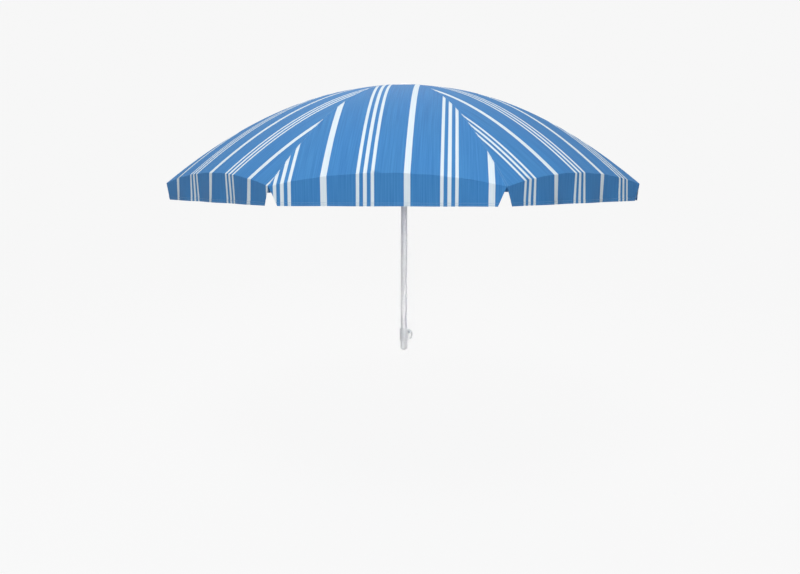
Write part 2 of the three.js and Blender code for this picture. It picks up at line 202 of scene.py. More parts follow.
# ---- material helpers ----
class Shader:
    """A node material built step by step around one Principled shader."""

    def __init__(self, name):
        self.material = bpy.data.materials.new(name)
        self.material.use_nodes = True
        self.tree = self.material.node_tree
        self.tree.nodes.clear()
        self.output = self.node("ShaderNodeOutputMaterial")
        self.principled = self.node("ShaderNodeBsdfPrincipled")
        self.connect(self.principled.outputs["BSDF"], self.output.inputs["Surface"])

    def node(self, kind, **settings):
        made = self.tree.nodes.new(kind)
        for key, value in settings.items():
            setattr(made, key, value)
        return made

    def connect(self, source, target):
        self.tree.links.new(source, target)

    def feed(self, value, socket):
        if isinstance(value, bpy.types.NodeSocket):
            self.connect(value, socket)
        else:
            socket.default_value = value

    def math(self, operation, *values):
        made = self.node("ShaderNodeMath", operation=operation)
        for value, socket in zip(values, made.inputs):
            self.feed(value, socket)
        return made.outputs[0]

    def mix(self, share, first, second, blend="MIX"):
        made = self.node("ShaderNodeMix", data_type="RGBA", blend_type=blend)
        self.feed(share, made.inputs["Factor"])
        self.feed(first, made.inputs["A"])
        self.feed(second, made.inputs["B"])
        return made.outputs["Result"]

    def blend(self, share, closure):
        """Lays a share of another closure over the Principled one."""
        both = self.node("ShaderNodeMixShader")
        self.feed(share, both.inputs["Fac"])
        self.connect(self.principled.outputs["BSDF"], both.inputs[1])
        self.connect(closure, both.inputs[2])
        self.connect(both.outputs["Shader"], self.output.inputs["Surface"])

    def noise(self, vector, scale, detail=3.0):
        made = self.node("ShaderNodeTexNoise")
        self.connect(vector, made.inputs["Vector"])
        made.inputs["Scale"].default_value = scale
        made.inputs["Detail"].default_value = detail
        return made.outputs["Fac"]

    def stretched(self, vector, scale):
        made = self.node("ShaderNodeMapping")
        self.connect(vector, made.inputs["Vector"])
        made.inputs["Scale"].default_value = scale
        return made.outputs["Vector"]

    def spread(self, value, low, high):
        """Maps a noise value, which stays mostly between 0.3 and 0.7, to low to high."""
        made = self.node("ShaderNodeMapRange")
        self.connect(value, made.inputs["Value"])
        made.inputs["From Min"].default_value = 0.3
        made.inputs["From Max"].default_value = 0.7
        made.inputs["To Min"].default_value = low
        made.inputs["To Max"].default_value = high
        return made.outputs["Result"]

    def bump(self, height, strength, distance, below=None):
        made = self.node("ShaderNodeBump")
        self.connect(height, made.inputs["Height"])
        made.inputs["Strength"].default_value = strength
        made.inputs["Distance"].default_value = distance
        if below is not None:
            self.connect(below, made.inputs["Normal"])
        return made.outputs["Normal"]


def rgb(red, green, blue):
    return (red, green, blue, 1.0)


WHITE = rgb(1.0, 1.0, 1.0)
BLACK = rgb(0.0, 0.0, 0.0)
CLOTH_BLUES = (rgb(0.040, 0.205, 0.50), rgb(0.068, 0.275, 0.59))
CLOTH_WHITES = (rgb(0.70, 0.80, 0.87), rgb(0.82, 0.89, 0.93))
FADED = rgb(0.30, 0.45, 0.66)
THREAD = rgb(0.22, 0.42, 0.68)
PAINT = (rgb(0.86, 0.86, 0.86), rgb(0.91, 0.91, 0.91))
PLASTIC = (rgb(0.87, 0.88, 0.88), rgb(0.92, 0.925, 0.92))
STEEL = (rgb(0.42, 0.43, 0.45), rgb(0.62, 0.63, 0.65))
DARK_STEEL = (rgb(0.07, 0.075, 0.08), rgb(0.16, 0.165, 0.175))
BACKDROP = (rgb(0.56, 0.56, 0.56), rgb(0.58, 0.58, 0.58))
BRUSHED = (1.0, 1.0, 0.05)  # grain drawn out along Z
SCRATCHED = (900.0, 900.0, 22.0)


def stripe_share(shader, across):
    """White on the stripes and black on the ground between them."""
    half = STRIPE_PERIOD / 2
    wrapped = shader.math("WRAP", across, half, -half)
    place = shader.math("DIVIDE", shader.math("ABSOLUTE", wrapped), half)
    ramp = shader.node("ShaderNodeValToRGB")
    shader.connect(place, ramp.inputs["Fac"])
    edges = [SINGLE_HALF_WIDTH] + [half - edge for edge in reversed(TRIPLE_EDGES)]
    stops = ramp.color_ramp.elements
    for stop, position in zip(stops, (0.0, 1.0)):
        stop.position = position
        stop.color = WHITE
    white = True
    for edge in edges:
        for offset, lit in ((-STRIPE_EDGE, white), (STRIPE_EDGE, not white)):
            stop = stops.new((edge + offset) / half)
            stop.color = WHITE if lit else BLACK
        white = not white
    return ramp.outputs["Color"]


def stitch_mask(shader, sewing):
    """1 on the runs of thread in two lines, either side of a seam or above a hem."""
    split = shader.node("ShaderNodeSeparateXYZ")
    shader.connect(sewing, split.inputs["Vector"])
    from_line = shader.math("SUBTRACT", shader.math("ABSOLUTE", split.outputs["X"]), STITCH_OFFSET)
    on_line = shader.math("LESS_THAN", shader.math("ABSOLUTE", from_line), STITCH_HALF_WIDTH)
    along = shader.math("FRACT", shader.math("DIVIDE", split.outputs["Y"], STITCH_PITCH))
    return shader.math("MULTIPLY", on_line, shader.math("LESS_THAN", along, STITCH_SHARE))


def cloth_relief(shader, split, streaks, stitches):
    """The normal of the weave, with its thicker threads and the sewing on top."""
    turn = 2 * math.pi / WEAVE_PITCH
    warp = shader.math("SINE", shader.math("MULTIPLY", split.outputs["X"], turn))
    weft = shader.math("SINE", shader.math("MULTIPLY", split.outputs["Y"], turn))
    weave = shader.bump(shader.math("MULTIPLY", warp, weft), 0.22, 0.12 * MM)
    slubs = shader.bump(streaks, 0.25, 0.2 * MM, weave)
    return shader.bump(stitches, 0.6, 0.4 * MM, slubs)


def striped_cloth():
    shader = Shader("striped_cloth")
    flat = shader.node("ShaderNodeUVMap", uv_map="stripes").outputs["UV"]
    sewing = shader.node("ShaderNodeUVMap", uv_map="sewing").outputs["UV"]
    split = shader.node("ShaderNodeSeparateXYZ")
    shader.connect(flat, split.inputs["Vector"])

    streaks = shader.noise(shader.stretched(flat, (260.0, 5.0, 1.0)), 1.0, 4.0)
    patches = shader.noise(shader.stretched(flat, (7.0, 4.0, 1.0)), 1.0, 2.0)
    blue = shader.mix(shader.spread(streaks, 0.0, 1.0), *CLOTH_BLUES)
    white = shader.mix(shader.spread(streaks, 0.0, 1.0), *CLOTH_WHITES)
    cloth = shader.mix(stripe_share(shader, split.outputs["X"]), blue, white)
    worn = shader.mix(shader.spread(patches, 0.0, 0.22), cloth, FADED, "SOFT_LIGHT")
    stitches = stitch_mask(shader, sewing)
    colour = shader.mix(stitches, worn, THREAD)
    relief = cloth_relief(shader, split, streaks, stitches)

    principled = shader.principled
    shader.connect(colour, principled.inputs["Base Color"])
    shader.connect(shader.spread(streaks, 0.74, 0.86), principled.inputs["Roughness"])
    shader.connect(relief, principled.inputs["Normal"])
    principled.inputs["Sheen Weight"].default_value = 0.12
    principled.inputs["Sheen Roughness"].default_value = 0.4
    principled.inputs["Specular IOR Level"].default_value = 0.3

    through = shader.node("ShaderNodeBsdfTranslucent")
    shader.connect(colour, through.inputs["Color"])
    shader.connect(relief, through.inputs["Normal"])
    shader.blend(0.16, through.outputs["BSDF"])
    return shader.material


def coated(name, tones, roughness, grain, grain_depth, stretch=(1.0, 1.0, 1.0)):
    """Paint, plastic or metal: a mottled colour, an uneven gloss, fine grain and long soft scratches."""
    shader = Shader(name)
    dark, light = tones
    low, high = roughness
    place = shader.node("ShaderNodeTexCoord").outputs["Object"]
    mottle = shader.noise(place, 38.0, 4.0)
    fine = shader.noise(shader.stretched(place, stretch), grain, 4.0)
    scratches = shader.noise(shader.stretched(place, SCRATCHED), 1.0, 2.0)
    colour = shader.mix(shader.spread(mottle, 0.0, 1.0), dark, light)
    handled = shader.mix(shader.spread(scratches, 0.0, 0.18), colour, dark)
    gloss = shader.math("MULTIPLY_ADD", shader.spread(mottle, 0.0, 1.0), high - low, low)
    rough = shader.math("MULTIPLY_ADD", shader.spread(scratches, 0.0, 1.0), 0.06, gloss)
    relief = shader.bump(scratches, 0.08, 0.1 * MM, shader.bump(fine, 0.3, grain_depth))
    shader.connect(handled, shader.principled.inputs["Base Color"])
    shader.connect(rough, shader.principled.inputs["Roughness"])
    shader.connect(relief, shader.principled.inputs["Normal"])
    return shader


def white_paint():
    shader = coated("white_paint", PAINT, (0.28, 0.38), 700.0, 0.08 * MM)
    shader.principled.inputs["Coat Weight"].default_value = 0.25
    shader.principled.inputs["Coat Roughness"].default_value = 0.2
    return shader.material


def white_plastic():
    shader = coated("white_plastic", PLASTIC, (0.38, 0.5), 1500.0, 0.05 * MM)
    shader.principled.inputs["Subsurface Weight"].default_value = 0.06
    shader.principled.inputs["Subsurface Radius"].default_value = (2 * MM, 2 * MM, 2 * MM)
    return shader.material


def steel():
    shader = coated("steel", STEEL, (0.26, 0.4), 2600.0, 0.04 * MM, BRUSHED)
    shader.principled.inputs["Metallic"].default_value = 1.0
    return shader.material


def dark_steel():
    shader = coated("dark_steel", DARK_STEEL, (0.3, 0.42), 1800.0, 0.05 * MM)
    shader.principled.inputs["Metallic"].default_value = 0.9
    return shader.material


MATERIALS = {
    "striped_cloth": striped_cloth(),
    "white_paint": white_paint(),
    "white_plastic": white_plastic(),
    "steel": steel(),
    "dark_steel": dark_steel(),
}


# ---- mesh helpers ----
def add_piece(name, mesh, slot, body=None, replaces=()):
    piece = bpy.data.objects.new(name, mesh)
    bpy.context.scene.collection.objects.link(piece)
    mesh.materials.clear()
    mesh.materials.append(MATERIALS[slot])
    if body is not None:
        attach(piece, body)
    if replaces:
        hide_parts(*replaces)
    return piece


def smooth(mesh, sharp=SHARP):
    mesh.polygons.foreach_set("use_smooth", [True] * len(mesh.polygons))
    mesh.set_sharp_from_angle(angle=math.radians(sharp))
    return mesh


def soften(piece, width):
    """Rounds the sharp edges."""
    bevel = piece.modifiers.new("soft_edges", "BEVEL")
    bevel.width = width
    bevel.segments = 2
    bevel.limit_method = "ANGLE"
    bevel.angle_limit = math.radians(SHARP)


def mesh_from(name, points, faces):
    mesh = bpy.data.meshes.new(name)
    mesh.from_pydata([tuple(point) for point in points], [], faces)
    mesh.validate()
    return mesh


def mesh_of(name, work):
    """The mesh of a bmesh, with every face turned outward."""
    bmesh.ops.recalc_face_normals(work, faces=work.faces)
    mesh = bpy.data.meshes.new(name)
    work.to_mesh(mesh)
    work.free()
    return mesh


def outward(name, points, faces):
    work = bmesh.new()
    work.from_mesh(mesh_from(name + "_raw", points, faces))
    return mesh_of(name, work)


def in_metres(outline):
    return [(first * MM, second * MM) for first, second in outline]


def circle(radius, height, sides):
    """Points round the Z axis."""
    angles = [2 * math.pi * i / sides for i in range(sides)]
    return [Vector((radius * math.cos(angle), radius * math.sin(angle), height)) for angle in angles]


def turned(name, profile, sides=64):
    """A closed body turned about Z from (radius, height) points that start and end on the axis."""
    points, faces, rings = [], [], []
    for radius, height in profile:
        ring = circle(radius, height, sides if radius else 1)
        rings.append(list(range(len(points), len(points) + len(ring))))
        points += ring
    for lower, upper in zip(rings, rings[1:]):
        for i in range(sides):
            j = (i + 1) % sides
            corners = [lower[i % len(lower)], lower[j % len(lower)],
                       upper[j % len(upper)], upper[i % len(upper)]]
            kept = list(dict.fromkeys(corners))
            if len(kept) > 2:
                faces.append(kept)
    return outward(name, points, faces)


def swept(name, stations, sides=16, roundness=2.0, closed=False):
    """A body swept through stations of (centre, first axis, second axis, half width, half depth)."""
    points, faces = [], []
    for centre, first, second, wide, deep in stations:
        for i in range(sides):
            angle = 2 * math.pi * i / sides
            across, up = math.cos(angle), math.sin(angle)
            square = (abs(across) ** roundness + abs(up) ** roundness) ** (-1 / roundness)
            points.append(centre + first * (wide * across * square) + second * (deep * up * square))
    count = len(stations)
    for s in range(count if closed else count - 1):
        this, following = s * sides, (s + 1) % count * sides
        for i in range(sides):
            j = (i + 1) % sides
            faces.append([this + i, this + j, following + j, following + i])
    if not closed:
        faces.append(list(range(sides)))
        faces.append(list(range((count - 1) * sides, count * sides)))
    return outward(name, points, faces)


def slab(name, outline, low, high, bevel=0.0):
    """A plate with an (x, z) outline, from y = low to y = high, with edges rounded by bevel."""
    work = bmesh.new()
    front = [work.verts.new((x, low, z)) for x, z in outline]
    back = [work.verts.new((x, high, z)) for x, z in outline]
    work.faces.new(front)
    work.faces.new(list(reversed(back)))
    for i in range(len(outline)):
        j = (i + 1) % len(outline)
        work.faces.new([front[j], front[i], back[i], back[j]])
    rims = [edge for edge in work.edges if len({round(v.co.y, 6) for v in edge.verts}) == 1]
    if bevel:
        bmesh.ops.bevel(work, geom=rims, offset=bevel, segments=3, profile=0.5, affect="EDGES")
    return mesh_of(name, work)


def block(left, right, front, back, low, high):
    return slab("block", [(left, low), (right, low), (right, high), (left, high)], front, back)


def rod(radius, low, high, sides):
    return turned("rod", [(0, low), (radius, low), (radius, high), (0, high)], sides)


def moved(mesh, matrix):
    mesh.transform(matrix)
    return mesh


def combined(name, base, *steps):
    """base joined with or cut by each (operation, mesh) in turn."""
    scratch = []

    def hold(mesh):
        made = bpy.data.objects.new("scratch", mesh)
        bpy.context.scene.collection.objects.link(made)
        scratch.append(made)
        return made

    body = hold(base)
    for operation, mesh in steps:
        modifier = body.modifiers.new(operation, "BOOLEAN")
        modifier.operation = operation
        modifier.solver = "MANIFOLD"
        modifier.object = hold(mesh)
    bpy.context.view_layer.update()
    evaluated = body.evaluated_get(bpy.context.evaluated_depsgraph_get())
    result = bpy.data.meshes.new_from_object(evaluated)
    result.name = name
    for made in scratch:
        bpy.data.objects.remove(made)
    return result


# ---- the canopy ----
class Skin:
    """Collects faces whose corners each carry a normal, a stripe coordinate and a sewing coordinate."""

    def __init__(self):
        self.index, self.points, self.faces = {}, [], []
        self.normals, self.stripes, self.sewing = [], [], []

    def vertex(self, point):
        key = tuple(round(value, 7) for value in point)
        if key not in self.index:
            self.index[key] = len(self.points)
            self.points.append(tuple(point))
        return self.index[key]

    def face(self, corners, flat=False):
        """Four corners of (point, normal, stripe coordinate, sewing coordinate). A flat face has its
        own normal, and a face with a side of no length is left out."""
        places = [corner[0] for corner in corners]
        numbers = [self.vertex(place) for place in places]
        if len(set(numbers)) < len(numbers):
            return
        own = (places[2] - places[0]).cross(places[3] - places[1]).normalized()
        self.faces.append(numbers)
        for _, normal, stripe, sewing in corners:
            self.normals.append(own if flat else normal)
            self.stripes.append(stripe)
            self.sewing.append(sewing)

    def mesh(self, name):
        mesh = bpy.data.meshes.new(name)
        mesh.from_pydata(self.points, [], self.faces)
        for layer_name, values in (("stripes", self.stripes), ("sewing", self.sewing)):
            layer = mesh.uv_layers.new(name=layer_name)
            layer.data.foreach_set("uv", [value for pair in values for value in pair])
        mesh.polygons.foreach_set("use_smooth", [True] * len(mesh.polygons))
        mesh.normals_split_custom_set([tuple(normal) for normal in self.normals])
        return mesh


def rib_axes(k):
    """The directions out along rib k and across it."""
    azimuth = FIRST_RIB + 2 * HALF_GORE * k
    return (Vector((math.sin(azimuth), -math.cos(azimuth), 0)),
            Vector((math.cos(azimuth), math.sin(azimuth), 0)))


def gore_of(k, side):
    """The number of the gore on that side of rib k; a gore has the number of its lower rib."""
    return k if side > 0 else (k - 1) % RIBS


def gore_coordinates(x, y, side):
    """How far out along the gore's centre line, and how far across it, a rib-frame point is."""
    return x * COS_GORE + side * y * SIN_GORE, y * COS_GORE - side * x * SIN_GORE


def cloth_height(out, across, gore):
    """The cloth's height on a gore, which arches between its ribs and puckers a little."""
    share = (out / COS_GORE / CANOPY_RADIUS) ** 2
    slack = 1 - (across / (out * TAN_GORE)) ** 2
    wave = math.sin(2 * math.pi * across / PUCKER_WAVE + PUCKER_TURN * gore)
    return CROWN_Z - DROP * share + (ARCH + PUCKER * wave) * share * slack


def rib_height(radius):
    return CROWN_Z - RIB_BELOW - DROP * (radius / CANOPY_RADIUS) ** 2


def rib_directions(k, radius):
    """Along rib k at that radius, across it, and square to both."""
    out, across = rib_axes(k)
    along = (out - UP * (2 * DROP * radius / CANOPY_RADIUS ** 2)).normalized()
    return along, across, along.cross(across)


def rib_point(k, radius):
    return rib_axes(k)[0] * radius + UP * rib_height(radius)


def row_height(row, fold_z):
    """The height of a row of the valance, which hangs from fold_z: a row is given by its share of
    the way down to the hem band, or by its height above the hem."""
    share, above_hem = row
    if above_hem is None:
        return fold_z + (HEM_Z + HEM_BAND - fold_z) * share
    return HEM_Z + above_hem


class RibFrame:
    """Points and corners of the cloth round one rib."""

    def __init__(self, k):
        self.k = k
        self.out, self.across = rib_axes(k)

    def height(self, x, y, side):
        out, across = gore_coordinates(x, y, side)
        return cloth_height(out, across, gore_of(self.k, side))

    def top(self, x, y, side, seam_rise):
        """The outer and the inner corner of the taut cloth at a rib-frame point."""
        step = 0.3 * MM
        height = self.height(x, y, side)
        slope_x = (self.height(x + step, y, side) - self.height(x - step, y, side)) / (2 * step)
        slope_y = (self.height(x, y + step, side) - self.height(x, y - step, side)) / (2 * step)
        normal = (UP - self.out * slope_x - self.across * slope_y).normalized()
        point = self.out * x + self.across * y + UP * (height + seam_rise)
        out, across = gore_coordinates(x, y, side)
        stripe = (across - STRIPE_SHIFT[gore_of(self.k, side)], out)
        under = point - UP * (CLOTH + seam_rise)
        return (point, normal, stripe, (y, x)), (under, normal, stripe, (y, x))

    def hanging(self, share, row, side):
        """The outer and the inner corner of the valance, at a share of the way from the notch to
        the gore's centre line."""
        forward = (self.out * COS_GORE + self.across * side * SIN_GORE).normalized()
        along = (self.across * COS_GORE - self.out * side * SIN_GORE).normalized()
        edge_out = CANOPY_RADIUS * COS_GORE
        gore = gore_of(self.k, side)
        drop = (TIP_Z - row_height(row, TIP_Z)) / (TIP_Z - HEM_Z)
        notch = NOTCH_HALF_WIDTH / COS_GORE * drop
        across = -side * (CANOPY_RADIUS * SIN_GORE - notch) * (1 - share)
        fold_z = cloth_height(edge_out, across, gore)
        z = row_height(row, fold_z)
        swing = VALANCE_SWING * (fold_z - z) / (TIP_Z - HEM_Z) * min(1.0, share / STILL_SHARE)
        turn = 2 * math.pi * across / VALANCE_WAVE + VALANCE_TURN * gore
        hem = HEM_EXTRA if row in FOLDED_ROWS else 0.0
        point = forward * (edge_out + swing * math.sin(turn) + hem) + along * across + UP * z
        lean = swing * math.cos(turn) * 2 * math.pi / VALANCE_WAVE
        normal = (forward - along * lean).normalized()
        stripe = (across - STRIPE_SHIFT[gore], edge_out + fold_z - z)
        sewing = (z - HEM_Z - HEM_STITCH + STITCH_OFFSET, across)
        under = point - forward * (CLOTH + 2 * hem)
        return (point, normal, stripe, sewing), (under, normal, stripe, sewing)


FREE_ROWS = [(i / HANGING_ROWS, None) for i in range(HANGING_ROWS)] + [(0, HEM_BAND)]
FOLDED_ROWS = [(0, HEM_BAND - 0.6 * MM), (0, 6 * MM), (0, 0.8 * MM), (0, 0.0)]


def column_shares(half_width):
    """Places across half a panel: the flat of the seam, its step, then the open cloth."""
    seam = SEAM_HALF_WIDTH + SEAM_STEP
    near = min(1.0, SEAM_SHARE * half_width / seam)
    shares = [0.0, SEAM_HALF_WIDTH * near / half_width, seam * near / half_width]
    rest = 1 - shares[-1]
    return shares + [shares[-1] + rest * (i + 1) / PLAIN_COLUMNS for i in range(PLAIN_COLUMNS)]


def turned_over(corner):
    point, normal, stripe, sewing = corner
    return point, -normal, stripe, sewing


def stitched_grid(skin, grid, side, first_open_row):
    """Two-faced cloth from rows of (outer corner, inner corner); rows from first_open_row on have a
    free edge at the rib."""
    rows, columns = len(grid), len(grid[0])

    def face(corners, forward, flat=False):
        skin.face(corners if forward == (side > 0) else corners[::-1], flat)

    def rim(first, second, forward):
        face([first[0], second[0], second[1], first[1]], forward, flat=True)

    for i in range(rows - 1):
        for j in range(columns - 1):
            quad = [grid[i][j], grid[i + 1][j], grid[i + 1][j + 1], grid[i][j + 1]]
            seam_step = j == 1 and i < first_open_row
            face([outer for outer, inner in quad], True, seam_step)
            face([turned_over(inner) for outer, inner in quad], False)
    for j in range(columns - 1):
        rim(grid[0][j], grid[0][j + 1], True)
        rim(grid[-1][j], grid[-1][j + 1], False)
    for i in range(rows - 1):
        rim(grid[i][-1], grid[i + 1][-1], True)
        if i >= first_open_row:
            rim(grid[i][0], grid[i + 1][0], False)


def taut_rows(rib, side, rows, rib_radius, gore_radius):
    """Rows of cloth corners, with the rib's and the gore centre line's radius at each share out."""
    made = []
    for i in range(rows + 1):
        at_rib, at_gore = rib_radius(i / rows), gore_radius(i / rows)
        half_width = at_gore * SIN_GORE
        row = []
        for j, place in enumerate(column_shares(half_width)):
            x = at_rib + (at_gore * COS_GORE - at_rib) * place
            rise = SEAM_RISE if j < 2 else 0.0
            row.append(rib.top(x, side * half_width * place, side, rise))
        made.append(row)
    return made


def between(low, high):
    return lambda share: low + (high - low) * share


def declare_cloth(piece):
    """Gives the cloth piece a mesh of its own."""
    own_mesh(piece)


def inner_cloth(k):
    rib, skin = RibFrame(k), Skin()
    for side in (1, -1):
        rows = taut_rows(rib, side, INNER_ROWS, between(CROWN_HOLE, ELBOW),
                         between(CROWN_HOLE / COS_GORE, ELBOW / COS_GORE))
        stitched_grid(skin, rows, side, len(rows))
    piece = add_piece(f"cloth_inner_{k + 1}", skin.mesh(f"cloth_inner_{k + 1}"), "striped_cloth",
                      f"rib_inner_{k + 1}", [f"canopy_inner_{k + 1}"])
    declare_cloth(piece)


def outer_cloth(k):
    """The cloth from the elbow out, with its share of the valance."""
    rib, skin = RibFrame(k), Skin()
    for side in (1, -1):
        rows = taut_rows(rib, side, OUTER_ROWS, between(ELBOW, CANOPY_RADIUS),
                         between(ELBOW / COS_GORE, CANOPY_RADIUS * COS_GORE))
        fold = len(rows) - 1
        shares = column_shares(CANOPY_RADIUS * COS_GORE * SIN_GORE)
        for row in FREE_ROWS + FOLDED_ROWS:
            rows.append([rib.hanging(share, row, side) for share in shares])
        stitched_grid(skin, rows, side, fold)
    piece = add_piece(f"cloth_outer_{k + 1}", skin.mesh(f"cloth_outer_{k + 1}"), "striped_cloth",
                      f"rib_outer_{k + 1}", [f"canopy_outer_{k + 1}"])
    declare_cloth(piece)


# ---- ribs and struts ----
def flattened(distance, length, thin, tall, radius):
    """Half width and half depth of a wire that is pressed flat within length of its end."""
    share = min(max(distance / length, 0.0), 1.0)
    share = share * share * (3 - 2 * share)
    return thin + (radius - thin) * share, tall + (radius - tall) * share


def rib_wire(k):
    """The whole rib as one wire, which bends at its elbow."""
    stations = []
    for i in range(WIRE_STEPS + 1):
        radius = RIB_START + (RIB_END - RIB_START) * i / WIRE_STEPS
        across, up = rib_directions(k, radius)[1:]
        wide, deep = flattened(radius - RIB_PIVOT - 4 * MM, 10 * MM, 1.2 * MM, 3.1 * MM, WIRE_RADIUS)
        stations.append((rib_point(k, radius), across, up, wide, deep))
    number = k + 1
    wire = add_piece(f"rib_{number}", smooth(swept(f"rib_{number}", stations)), "white_paint",
                     replaces=[f"rib_inner_{number}", f"rib_outer_{number}"])
    at = [rib_point(k, radius) for radius in (ELBOW - FLEX_LENGTH, ELBOW + FLEX_LENGTH)]
    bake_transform(wire, f"rib_inner_{number}", f"rib_outer_{number}", start=tuple(at[0]), end=tuple(at[1]))


def rib_tip(k):
    """A round-nosed cap on the end of the rib, with a collar that holds the cloth's corner."""
    along, across, up = rib_directions(k, RIB_END)
    profile = [(0, -16), (2.5, -16), (3.1, -15.2), (3.1, -11), (2.7, -10), (2.7, -4.5), (3.3, -3.4),
               (3.3, -1.2), (2.6, 0.3), (1.4, 1.2), (0, 1.5)]
    turn = Matrix((across, up, along)).transposed().to_4x4()
    mesh = moved(turned(f"rib_tip_{k + 1}", in_metres(profile), 24),
                 Matrix.Translation(rib_point(k, RIB_END)) @ turn)
    add_piece(f"rib_tip_{k + 1}", smooth(mesh), "white_plastic", f"rib_outer_{k + 1}")


def elbow_bracket(k):
    """A strap round the rib beside the elbow, and the pin that the strut turns on."""
    along, across, up = rib_directions(k, ELBOW)
    centre = rib_point(k, ELBOW)
    stations = []
    for i in range(9):
        place = -19 * MM + 15 * MM * i / 8
        half = STRAP - (0.25 * MM if i in (0, 8) else 0.0)
        stations.append((centre + along * place, across, up, half, half))
    strap = smooth(swept(f"elbow_bracket_{k + 1}", stations, 24, 3.0))
    add_piece(f"elbow_bracket_{k + 1}", strap, "steel", f"rib_inner_{k + 1}")

    profile = [(0, -3.4), (2.4, -3.4), (2.8, -2.9), (2.4, -2.3), (1.3, -2.2), (1.3, 7.9), (2.6, 8.0),
               (3.0, 8.6), (2.3, 9.2), (0, 9.4)]
    turn = Matrix((up, along, across)).transposed().to_4x4()
    pin = moved(turned(f"strut_pin_{k + 1}", in_metres(profile), 24), Matrix.Translation(centre) @ turn)
    add_piece(f"strut_pin_{k + 1}", smooth(pin), "dark_steel", f"rib_inner_{k + 1}")


def strut(k):
    out, across = rib_axes(k)
    inner = out * RUNNER_PIVOT + across * STRUT_SIDE + UP * RUNNER_PIVOT_Z
    outer = out * ELBOW + across * STRUT_SIDE + UP * rib_height(ELBOW)
    along = (outer - inner).normalized()
    inner -= along * STRUT_OVERRUN
    outer += along * STRUT_OVERRUN
    length = (outer - inner).length
    normal = along.cross(across).normalized()
    stations = []
    for i in range(STRUT_STEPS + 1):
        bunched = 0.5 - 0.5 * math.cos(math.pi * i / STRUT_STEPS)
        distance = length * bunched
        from_end = min(distance, length - distance)
        wide, deep = flattened(from_end - 7 * MM, 11 * MM, 0.9 * MM, 3.2 * MM, WIRE_RADIUS)
        nose = math.sqrt(max(0.05, 1 - max(0.0, 1 - from_end / (3 * MM)) ** 2))
        stations.append((inner + along * distance, across, normal, wide, deep * nose))
    number = k + 1
    add_piece(f"strut_{number}", smooth(swept(f"strut_{number}", stations)), "white_paint",
              f"stretcher_{number}", [f"stretcher_{number}"])


def wire_ring(name, radius, height, body):
    stations = []
    for i in range(WIRE_STEPS):
        angle = 2 * math.pi * i / WIRE_STEPS
        out = Vector((math.cos(angle), math.sin(angle), 0))
        stations.append((out * radius + UP * height, out, UP, RING_WIRE, RING_WIRE))
    mesh = smooth(swept(name, stations, 10, closed=True), 60)
    add_piece(name, mesh, "steel", body)


# ---- the mast, the hub, the runner and the clamp ----
def refined(node, slot, width):
    """A smooth copy of a CAD node with rounded edges, which stands for it."""
    source = frame["nodes"][node]
    work = bmesh.new()
    work.from_mesh(source.data)
    bmesh.ops.remove_doubles(work, verts=work.verts, dist=0.002 * MM)
    bmesh.ops.dissolve_limit(work, angle_limit=math.radians(0.6), verts=work.verts, edges=work.edges)
    mesh = smooth(mesh_of(node + "_fine", work))
    mesh.uv_layers.new(name="plain")
    piece = add_piece(node + "_fine", mesh, slot, body_of(source)[0], [node])
    soften(piece, width)


def tube(node, outer, inner, low, high, holes=()):
    """A painted tube with softly broken ends."""
    outline = [(0, low), (outer - TUBE_LIP, low), (outer, low + TUBE_LIP),
               (outer, high - TUBE_LIP), (outer - TUBE_LIP, high), (0, high)]
    cuts = [rod(inner, low - MM, high + MM, TUBE_SIDES), *holes]
    wall = turned("wall", outline, TUBE_SIDES)
    mesh = combined(node + "_fine", wall, *[("DIFFERENCE", cut) for cut in cuts])
    add_piece(node + "_fine", smooth(mesh), "white_paint", node, [node])


def rivet_hole(height):
    place = Matrix.Translation(UP * height) @ ALONG_Y
    return moved(rod(RIVET_HOLE, -PAST, PAST, HOLE_SIDES), place)


def tubes():
    catch_window = block(-2.8 * MM, 2.8 * MM, -PAST, 0, 665.7 * MM, 682.3 * MM)
    pad_window = block(0, PAST, -4.3 * MM, 4.3 * MM, 60.5 * MM, 75.5 * MM)
    button_hole = moved(rod(BUTTON_HOLE, 0, PAST, HOLE_SIDES), BUTTON_MATRIX)
    tube("upper_mast", MAST_OUTER, MAST_INNER, 620 * MM, 930 * MM,
         [catch_window, rivet_hole(UPPER_RIVET_Z)])
    tube("lower_mast", MAST_OUTER, MAST_INNER, 40.3 * MM, 604 * MM,
         [pad_window, button_hole, rivet_hole(LOWER_RIVET_Z)])
    tube("ground_pole", POLE_OUTER, POLE_INNER, 33.8 * MM, 560 * MM)


def headed_pin(name, centre, radius, head_radius, head, half_length, slot, body, node):
    """A pin along Y with a low domed head at each end, each with a shallow dimple."""
    end = half_length + head
    half = [(0, end - 0.35 * head), (0.3 * head_radius, end - 0.3 * head), (0.45 * head_radius, end),
            (0.75 * head_radius, end - 0.12 * head), (head_radius, end - 0.6 * head),
            (head_radius, half_length), (radius, half_length)]
    profile = half + [(r, -z) for r, z in reversed(half)]
    mesh = turned(name, profile, 40)
    mesh = smooth(moved(mesh, Matrix.Translation(centre) @ ALONG_Y), 40)
    add_piece(name, mesh, slot, body, [node])


def crown_cap():
    profile = [(0, 951.9), (4.4, 951.9), (4.4, 955.3), (21.4, 955.3), (22, 955.8), (22, 956.6)]
    for i in range(1, 9):
        angle = i / 8 * math.pi / 2
        profile.append((22 * math.cos(angle), 956.6 + 5.4 * math.sin(angle)))
    profile[-1] = (0, 962)
    mesh = turned("crown_cap_fine", in_metres(profile))
    add_piece("crown_cap_fine", smooth(mesh), "white_plastic", "upper_mast", ["crown_cap"])


